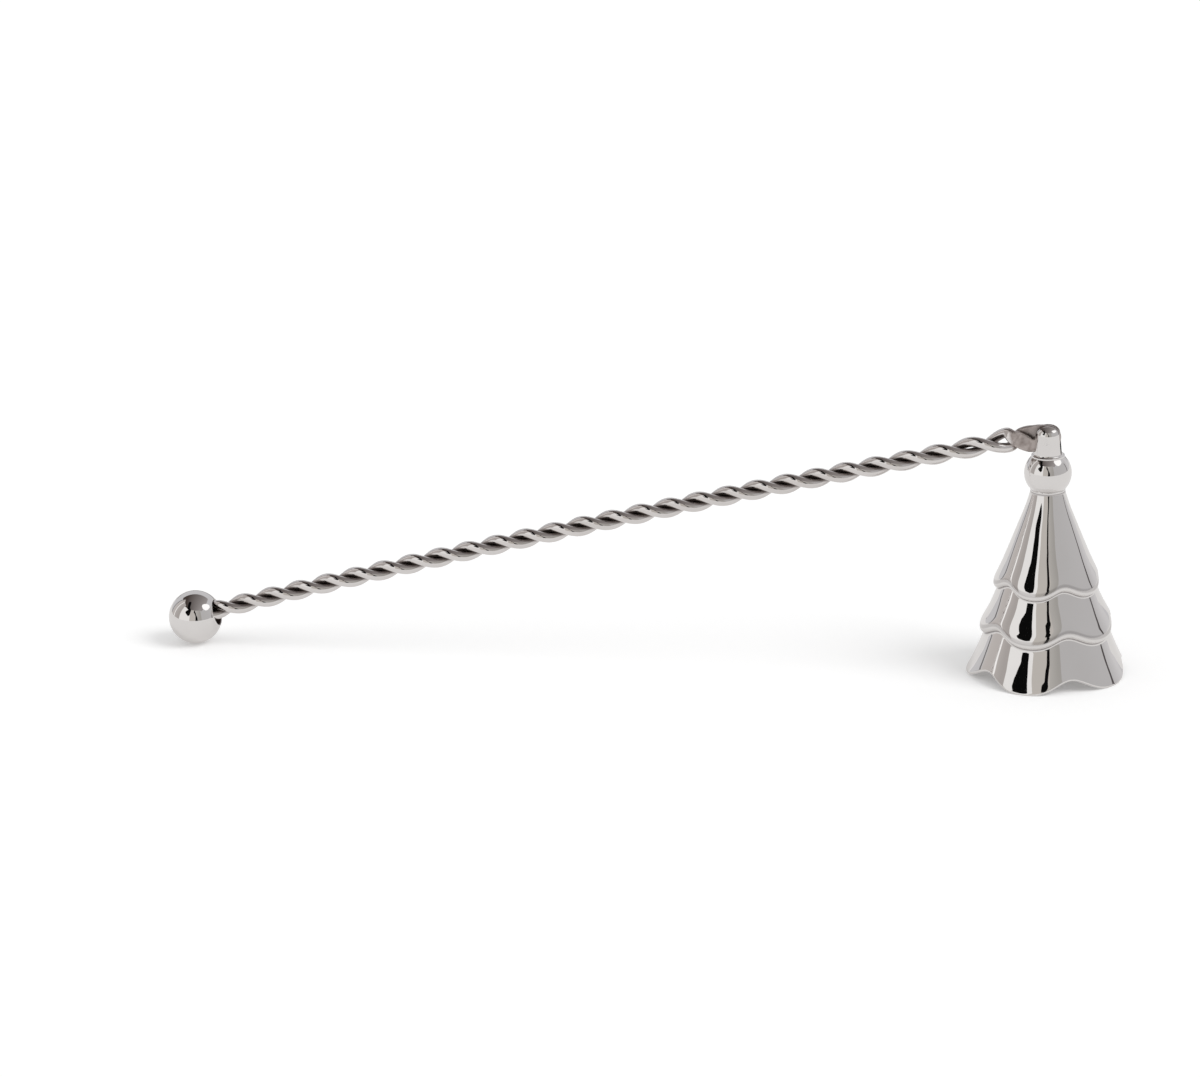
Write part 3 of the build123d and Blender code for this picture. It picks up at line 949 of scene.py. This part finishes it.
def near_hinge_mask(material, full, none):
    nodes, links = material.node_tree.nodes, material.node_tree.links
    place = nodes.new("ShaderNodeTexCoord")
    offset = nodes.new("ShaderNodeVectorMath")
    offset.operation = "SUBTRACT"
    offset.inputs[1].default_value = pivot
    reach = nodes.new("ShaderNodeVectorMath")
    reach.operation = "DOT_PRODUCT"
    reach.inputs[1].default_value = along
    spread = map_range(nodes, none, full)
    links.new(place.outputs["Object"], offset.inputs[0])
    links.new(offset.outputs["Vector"], reach.inputs[0])
    links.new(reach.outputs["Value"], spread.inputs["Value"])
    return spread.outputs["Result"]


ground = near_hinge_mask(wire_metal, GROUND_TO, GROUND_FROM)
grit = place_group(wire_metal, SMUDGES, {"Marks per metre": GRIT_PER_METRE}).outputs["Mask"]
stain_and_shade(wire_metal, ground, (0.50, 0.45, 0.43), 0.42)
stain_and_shade(wire_metal, times(wire_metal, ground, grit), (0.30, 0.255, 0.24), 0.5)
# Dirt and painted shade between the wires: darker and rougher near the rope's middle.
stain_and_shade(wire_metal, dirt_and_shade_mask(wire_metal), (0.27, 0.24, 0.23), 0.25)
# Painted shade in the crease under each lip, with a little on the roll above it.
stain_and_shade(nickel, dirt_and_shade_mask(nickel), (0.38, 0.36, 0.36), 0.25)
# Painted shade and brown oxide inside the end ball's bore.
stain_and_shade(turned_nickel, dirt_and_shade_mask(turned_nickel), (0.13, 0.10, 0.09), 0.5)
print("the wire's finish has", len(wire_metal.node_tree.nodes), "nodes")

# %% [markdown]
# ## Finishes on their pieces
#
# The dressed pieces take the metals made above. The pin, the washer, the nut and the solder could
# be dressed too, but they are hidden or almost so. They keep the frame's own meshes and only get
# their metal here.

# %% Finishes on the pieces
for material, pieces in ((nickel, (bell, knuckle)), (turned_nickel, (neck, end_ball)),
                         (wire_metal, (front, rear))):
    for piece in pieces:
        piece.data.materials.append(material)
for node, material in (("hinge_pin", nickel), ("crown_washer", steel), ("crown_nut", steel),
                       ("ball_solder", solder)):
    mesh = frame["nodes"][node].data
    mesh.materials.clear()
    mesh.materials.append(material)
print("finish on the bell", bell.data.materials[0].name)

# %% [markdown]
# ## The camera
#
# The photograph was taken with a long lens from a little above, and the handle runs slightly away
# from the camera. The camera could be moved about until it looks right, but here it is worked out
# from where the middle of the bell's foot is in the picture, so a change of size keeps the view.

# %% Camera
IMAGE_WIDTH, IMAGE_HEIGHT = 1200, 1077
CAMERA_DISTANCE = 1.2
CAMERA_PITCH = math.radians(18)
CAMERA_ROLL = math.radians(-1.41)
HANDLE_RECEDES = math.radians(9.86)
BELL_FOOT_PIXEL = (1047.1, 669.7)
PIXELS_PER_METRE = 4200
SENSOR = 36.0


def place_camera():
    level_forward = Vector((-math.sin(HANDLE_RECEDES), math.cos(HANDLE_RECEDES), 0))
    right = Vector((math.cos(-HANDLE_RECEDES), -math.sin(-HANDLE_RECEDES), 0))
    forward = level_forward * math.cos(CAMERA_PITCH) - UP * math.sin(CAMERA_PITCH)
    up = level_forward * math.sin(CAMERA_PITCH) + UP * math.cos(CAMERA_PITCH)
    rolled_right = right * math.cos(CAMERA_ROLL) + up * math.sin(CAMERA_ROLL)
    rolled_up = up * math.cos(CAMERA_ROLL) - right * math.sin(CAMERA_ROLL)
    across = (BELL_FOOT_PIXEL[0] - IMAGE_WIDTH / 2) / PIXELS_PER_METRE
    high = -(BELL_FOOT_PIXEL[1] - IMAGE_HEIGHT / 2) / PIXELS_PER_METRE
    place = axis_foot - rolled_right * across - rolled_up * high - forward * CAMERA_DISTANCE
    data = bpy.data.cameras.new("studio camera")
    data.sensor_width = SENSOR
    data.sensor_fit = "HORIZONTAL"
    data.lens = PIXELS_PER_METRE * CAMERA_DISTANCE / IMAGE_WIDTH * SENSOR
    camera = bpy.data.objects.new("studio camera", data)
    turn = Matrix((rolled_right, rolled_up, -forward)).transposed().to_4x4()
    camera.matrix_world = Matrix.Translation(place) @ turn
    bpy.context.scene.collection.objects.link(camera)
    return camera


camera = place_camera()
bpy.context.scene.camera = camera
print("camera at", tuple(round(v, 3) for v in camera.location), "lens", round(camera.data.lens, 1))

# %% [markdown]
# ## The white floor
#
# The snuffer lies on white paper that keeps its soft shadow. Brighter lamps would whiten the paper
# but also bleach the metal, so the paper adds a little light of its own for the camera alone. The
# metal sees it a shade darker, as polished nickel in a real studio does.

# %% Floor
scene = bpy.context.scene
scene.view_settings.view_transform = "Standard"
FLOOR_HALF_WIDTH = 8.0
PAPER_COLOUR = (0.98, 0.98, 0.98)
FLOOR_SEEN_IN_METAL = (0.77, 0.745, 0.73)
FLOOR_SHARE_IN_METAL = 0.5
FLOOR_LIFT_FOR_CAMERA = 0.17


def multiply_node(nodes, factor):
    node = nodes.new("ShaderNodeMath")
    node.operation = "MULTIPLY"
    node.inputs[1].default_value = factor
    return node


def bare_material(name):
    material = bpy.data.materials.new(name)
    material.use_nodes = True
    nodes, links = material.node_tree.nodes, material.node_tree.links
    nodes.remove(nodes["Principled BSDF"])
    return material, nodes, links


def paper_material():
    material, nodes, links = bare_material("white sweep")
    paper = nodes.new("ShaderNodeBsdfDiffuse")
    paper.inputs["Color"].default_value = (*PAPER_COLOUR, 1)
    in_metal = nodes.new("ShaderNodeEmission")
    in_metal.inputs["Color"].default_value = (*FLOOR_SEEN_IN_METAL, 1)
    ray = nodes.new("ShaderNodeLightPath")
    share = multiply_node(nodes, FLOOR_SHARE_IN_METAL)
    lift = nodes.new("ShaderNodeEmission")
    seen = multiply_node(nodes, FLOOR_LIFT_FOR_CAMERA)
    whitened = nodes.new("ShaderNodeAddShader")
    mix = nodes.new("ShaderNodeMixShader")
    links.new(ray.outputs["Is Camera Ray"], seen.inputs[0])
    links.new(seen.outputs[0], lift.inputs["Strength"])
    links.new(paper.outputs[0], whitened.inputs[0])
    links.new(lift.outputs[0], whitened.inputs[1])
    links.new(ray.outputs["Is Glossy Ray"], share.inputs[0])
    links.new(share.outputs[0], mix.inputs[0])
    links.new(whitened.outputs[0], mix.inputs[1])
    links.new(in_metal.outputs[0], mix.inputs[2])
    links.new(mix.outputs[0], nodes["Material Output"].inputs["Surface"])
    return material


def stage_piece(name, corners, faces, material):
    mesh = bpy.data.meshes.new(name)
    mesh.from_pydata(corners, [], faces)
    piece = bpy.data.objects.new(name, mesh)
    scene.collection.objects.link(piece)
    mesh.materials.append(material)
    return piece


edge = FLOOR_HALF_WIDTH
floor_corners = [(-edge, -edge, 0), (edge, -edge, 0), (edge, edge, 0), (-edge, edge, 0)]
floor = stage_piece("floor", floor_corners, [(0, 1, 2, 3)], paper_material())
print("floor", tuple(round(v, 1) for v in floor.dimensions), "m")

# %% [markdown]
# ## World and sun
#
# The world is three things at once, told apart by Light Path's rays: a pale backdrop for the
# camera, a grey fill on the objects, and the tone of the room in the metal. One colour for all
# would be simpler, but the metal couldn't be darker than the paper then. A broad sun from the right
# casts the soft shadow. The metal doesn't show it, and gets a softbox card in its place later.

# %% World and sun
BACKDROP_STRENGTH = 1.0
FILL_STRENGTH = 0.78
ROOM_SEEN_IN_METAL = (0.64, 0.635, 0.65)
SUN_AZIMUTH, SUN_ELEVATION = 62, 45
SUN_STRENGTH = 1.15
SUN_SPREAD = 35


def make_world():
    world = bpy.data.worlds.new("studio")
    scene.world = world
    world.use_nodes = True
    nodes, links = world.node_tree.nodes, world.node_tree.links
    nodes.clear()
    ray = nodes.new("ShaderNodeLightPath")
    backdrop = nodes.new("ShaderNodeBackground")
    backdrop.inputs["Strength"].default_value = BACKDROP_STRENGTH
    room = nodes.new("ShaderNodeBackground")
    room.inputs["Color"].default_value = (*ROOM_SEEN_IN_METAL, 1)
    fill = nodes.new("ShaderNodeBackground")
    fill.inputs["Strength"].default_value = FILL_STRENGTH
    in_metal = nodes.new("ShaderNodeMixShader")
    to_camera = nodes.new("ShaderNodeMixShader")
    out = nodes.new("ShaderNodeOutputWorld")
    links.new(ray.outputs["Is Glossy Ray"], in_metal.inputs[0])
    links.new(fill.outputs[0], in_metal.inputs[1])
    links.new(room.outputs[0], in_metal.inputs[2])
    links.new(ray.outputs["Is Camera Ray"], to_camera.inputs[0])
    links.new(in_metal.outputs[0], to_camera.inputs[1])
    links.new(backdrop.outputs[0], to_camera.inputs[2])
    links.new(to_camera.outputs[0], out.inputs["Surface"])


def direction(azimuth, elevation):
    turn, rise = math.radians(azimuth), math.radians(elevation)
    level_right = Vector((math.cos(HANDLE_RECEDES), math.sin(HANDLE_RECEDES), 0))
    level_front = Vector((math.sin(HANDLE_RECEDES), -math.cos(HANDLE_RECEDES), 0))
    level_way = level_right * math.sin(turn) + level_front * math.cos(turn)
    return level_way * math.cos(rise) + UP * math.sin(rise)


def soft_sun(azimuth, elevation, strength, spread):
    data = bpy.data.lights.new("big soft panel", "SUN")
    data.energy = strength
    data.angle = math.radians(spread)
    lamp = bpy.data.objects.new("big soft panel", data)
    lamp.rotation_euler = direction(azimuth, elevation).to_track_quat("Z", "Y").to_euler()
    lamp.visible_glossy = False
    scene.collection.objects.link(lamp)
    return lamp


make_world()
sun = soft_sun(SUN_AZIMUTH, SUN_ELEVATION, SUN_STRENGTH, SUN_SPREAD)
print("sun strength", round(sun.data.energy, 2))

# %% [markdown]
# ## Cards that the metal reflects
#
# A photographer stands boards, black flags and softboxes round a shiny object, because the object
# shows nothing else. A picture of a studio could be the world, but cards can be moved one by one.
# They are seen in reflections only, so they neither light the floor nor block the camera. A card
# is placed by azimuth and elevation as seen from the bell, with azimuth 0 towards the camera.

# %% Helpers for cards
ROOM_CENTRE = Vector((axis_x, axis_y, 0.035))
WALL_DISTANCE = 1.8
DEGREES_PER_PANEL = 4


def card_piece(name, corners, faces, shader):
    piece = stage_piece(name, corners, faces, shader)
    piece.visible_camera = False
    piece.visible_diffuse = False
    piece.visible_transmission = False
    piece.visible_shadow = False
    return piece


def glow(name, colour, far_colour=None, axis="Z", span=(0.0, 1.0)):
    material, nodes, links = bare_material(name)
    light = nodes.new("ShaderNodeEmission")
    links.new(light.outputs[0], nodes["Material Output"].inputs["Surface"])
    light.inputs["Color"].default_value = (*colour, 1)
    if far_colour:
        place = nodes.new("ShaderNodeNewGeometry")
        part = nodes.new("ShaderNodeSeparateXYZ")
        spread = map_range(nodes, *span)
        mix = colour_mix(nodes, colour, far_colour)
        links.new(place.outputs["Position"], part.inputs["Vector"])
        links.new(part.outputs[axis], spread.inputs["Value"])
        links.new(spread.outputs["Result"], mix.inputs["Factor"])
        links.new(mix.outputs["Result"], light.inputs["Color"])
    return material


def wall(name, azimuths, elevations, shader, distance=WALL_DISTANCE):
    first, last = azimuths
    steps = max(1, math.ceil(abs(last - first) / DEGREES_PER_PANEL))
    corners = []
    for step in range(steps + 1):
        azimuth = first + (last - first) * step / steps
        corners += [ROOM_CENTRE + direction(azimuth, elevation) * distance for elevation in elevations]
    faces = [(2 * step, 2 * step + 2, 2 * step + 3, 2 * step + 1) for step in range(steps)]
    return card_piece(name, corners, faces, shader)


def outline_card(name, outline, shader, distance):
    corners = [ROOM_CENTRE + direction(azimuth, elevation) * distance for azimuth, elevation in outline]
    return card_piece(name, corners, [tuple(range(len(corners)))], shader)


print("walls stand", WALL_DISTANCE, "m from the bell")

# %% [markdown]
# ## The walls of the room
#
# Going round from the left, the bell shows a beige board with a bright edge, a white board, a
# lighter and a darker wall in front, a grey wall at the right with a dark gap, and a pale far wall.
# One closed drum of one tone would show no edges, so each is a card of its own, in a table. A wall
# whose tone changes has two colours and the span, in metres, over which one turns into the other.

# %% Walls
WALL_FOOT, WALL_TOP = -2, 45
BOARD_EDGE_TOP = 48
BOARD_EDGE_DISTANCE = 1.7
WALLS = (
    ("left beige board", (-118, -75), (WALL_FOOT, 50),
     glow("beige board", (0.66, 0.62, 0.60), (0.46, 0.43, 0.415), "Y", (0.85, -0.45))),
    ("left white board", (-75, -29.5), (WALL_FOOT, WALL_TOP), glow("white board", (0.93, 0.92, 0.91))),
    ("front light wall", (-29.5, 0), (WALL_FOOT, WALL_TOP), glow("front light wall", (0.585, 0.555, 0.52))),
    ("front beige wall", (0, 25), (WALL_FOOT, WALL_TOP),
     glow("front beige wall", (0.55, 0.53, 0.505), (0.42, 0.405, 0.385), "X", (0.1, 0.85))),
    ("right grey wall", (25, 100.5), (WALL_FOOT, 40),
     glow("right grey wall", (0.525, 0.515, 0.515), (0.555, 0.545, 0.55), "Y", (-1.6, 0.2))),
    ("dark gap", (100.5, 104), (WALL_FOOT, 26), glow("dark gap", (0.10, 0.09, 0.09))),
    ("far right wall", (104, 130), (WALL_FOOT, 30),
     glow("far right wall", (0.45, 0.44, 0.445), (0.70, 0.69, 0.70), "Y", (0.2, 1.2))),
    ("bright edge of the left board", (-104, -100.5), (WALL_FOOT, BOARD_EDGE_TOP),
     glow("bright edge", (1.05, 1.04, 1.03)), BOARD_EDGE_DISTANCE),
    ("corner of the left wall", (-124, -120), (WALL_FOOT, BOARD_EDGE_TOP),
     glow("left corner", (0.2, 0.19, 0.19)), BOARD_EDGE_DISTANCE),
    ("dark band behind", (150, 210), (-1.5, 5), glow("dark band", (0.2, 0.19, 0.19))),
)
for card in WALLS:
    wall(*card)
print("walls", len(WALLS))

# %% [markdown]
# ## Dark kit, softbox and ceiling
#
# The sharp black marks in the metal are the photographer's own kit: a black shape at the left and
# a stand in front. Plain rectangles would do for a dull metal, but a mirror shows an outline, so
# each has its own. The softbox is the bright spot on the knuckle and the balls, and the dark
# ceiling, paler towards the right, is the patch on top of them.

# %% Dark kit, softbox and ceiling
BLACK_SHAPE = ((-43, 15.5), (-39.5, 18), (-36.5, 21), (-36.5, 39), (-40, 43.5), (-52, 41.5), (-55, 36),
               (-59, 31), (-60.5, 27.5), (-58.5, 24), (-52.5, 20.5), (-46, 17))
STAND = ((-5.5, -4), (5, -4), (4, 13), (1, 20), (-2, 25), (-3.4, 31), (-2.8, 33), (-4, 35), (-8, 38),
         (-8, 44), (-15, 44), (-15, 38), (-14, 35), (-13.5, 33), (-9.4, 31), (-7.6, 25), (-4.8, 20),
         (-5, 13))
CEILING_EDGE = ((-38, 43), (-38, 46), (-46, 50), (-56, 60), (-75, 68), (-92, 66), (-92, 60), (-76, 55),
                (-64, 49), (-60, 42), (-50, 40.5))
SOFTBOX = ((48, 50), (53, 42), (60, 36), (75, 34), (95, 35), (105, 41), (100, 52), (88, 60), (70, 64),
           (52, 60))
BLACK_SHAPE_DISTANCE = 0.9
STAND_DISTANCE = 1.3
CEILING_EDGE_DISTANCE = 1.2
SOFTBOX_DISTANCE = 1.6
CEILING_HEIGHT = 1.5
CEILING_CORNERS = ((-1.45, -1.5), (1.1, -1.5), (1.1, 1.45), (-1.45, 1.45))

dark = glow("black kit", (0.004, 0.004, 0.004))
outline_card("black shape", BLACK_SHAPE, dark, BLACK_SHAPE_DISTANCE)
outline_card("stand", STAND, dark, STAND_DISTANCE)
outline_card("black edge of the ceiling", CEILING_EDGE, dark, CEILING_EDGE_DISTANCE)
outline_card("softbox", SOFTBOX, glow("softbox", (1.25, 1.25, 1.25)), SOFTBOX_DISTANCE)
ceiling_corners = [axis_foot + direction(90, 0) * x + direction(180, 0) * y + UP * CEILING_HEIGHT
                   for x, y in CEILING_CORNERS]
ceiling = card_piece("dark ceiling", ceiling_corners, [(0, 1, 2, 3)],
                     glow("dark ceiling", (0.07, 0.055, 0.05), (0.36, 0.335, 0.33), "X", (-0.9, 1.0)))
print("ceiling", tuple(round(v, 2) for v in ceiling.dimensions), "m")
